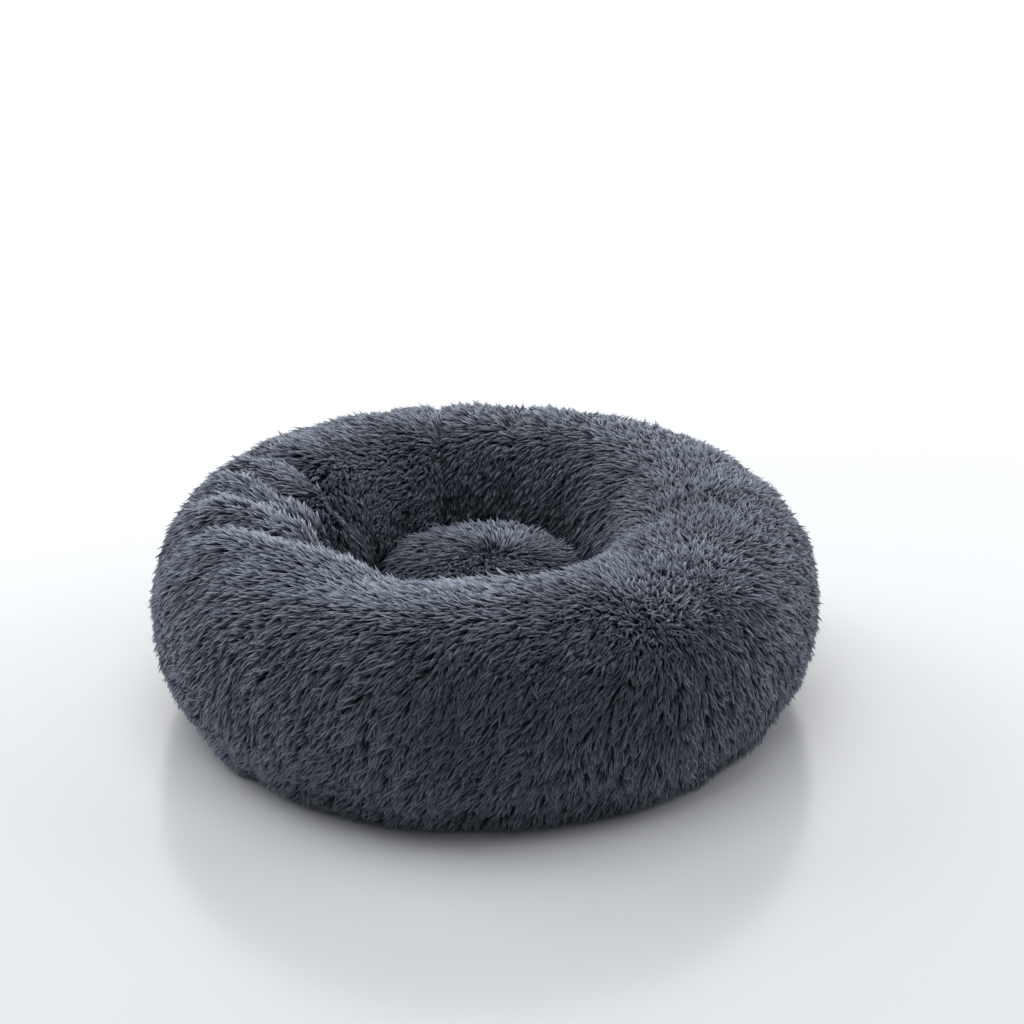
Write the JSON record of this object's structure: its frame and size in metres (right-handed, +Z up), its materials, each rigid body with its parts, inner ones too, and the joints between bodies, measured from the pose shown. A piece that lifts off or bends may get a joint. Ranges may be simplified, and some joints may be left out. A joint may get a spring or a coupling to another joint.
{
  "type": "pet cushion bed",
  "caption": "Round shaggy plush pet bed: a thick stuffed bolster ring with a sunken nest, a lift-out domed cushion and a zipped cover.",
  "frame": {"origin": "centre of the ring on the plane that the bed rests on", "axes": "+Z up out of the nest, -Y to the front as the bed is usually seen, +X to the right; the zip runs round the back, at +Y"},
  "size_m": [0.6, 0.6, 0.199],
  "materials": {
    "slate_plush": "long-pile shaggy plush, dark slate grey, lighter at the tips",
    "white_liner": "thin spun-bonded polyester",
    "fibre_fill": "loose hollow polyester fibre",
    "wadding": "pressed polyester wadding",
    "base_cloth": "plain woven base cloth, charcoal",
    "grip_rubber": "dotted soft rubber",
    "binding_tape": "ribbed polyester tape",
    "zip_cloth": "woven zip tape",
    "zip_nylon": "moulded nylon coil",
    "zip_metal": "dark painted die-cast metal",
    "satin_label": "blank satin ribbon"
  },
  "bodies": {
    "bed": {"ring_cover_main_panel": "slate_plush", "ring_cover_back_panel": "slate_plush", "ring_liner": "white_liner", "ring_fibre_fill": "fibre_fill", "base_panel": "base_cloth", "non_slip_sheet": "grip_rubber", "base_binding": "binding_tape", "base_wadding": "wadding", "nest_floor_panel": "base_cloth", "zip_tape_upper": "zip_cloth", "zip_tape_lower": "zip_cloth", "zip_coil_upper": "zip_nylon", "zip_coil_lower": "zip_nylon", "zip_end_stops": "zip_metal", "care_label": "satin_label"},
    "cushion": {"cushion_top_cover": "slate_plush", "cushion_bottom_cover": "base_cloth", "cushion_liner": "white_liner", "cushion_fill": "fibre_fill", "cushion_piping": "binding_tape"},
    "slider": {"zip_slider": "zip_metal"},
    "pull": {"zip_pull": "zip_metal"}
  },
  "joints": [
    {"name": "cushion_lift", "type": "slide", "parent": "bed", "child": "cushion", "axis": [0, 0, 1], "range_m": [0, 0.15]},
    {"name": "zip_run", "type": "hinge", "parent": "bed", "child": "slider", "pos_m": [0, 0, 0], "axis": [0, 0, 1], "range_deg": [0, 140]},
    {"name": "pull_swing", "type": "hinge", "parent": "slider", "child": "pull", "pos_m": [0.25436, 0.09258, 0.0328], "axis": [-0.6236, -0.227, -0.7481], "range_deg": [0, 170]}
  ]
}
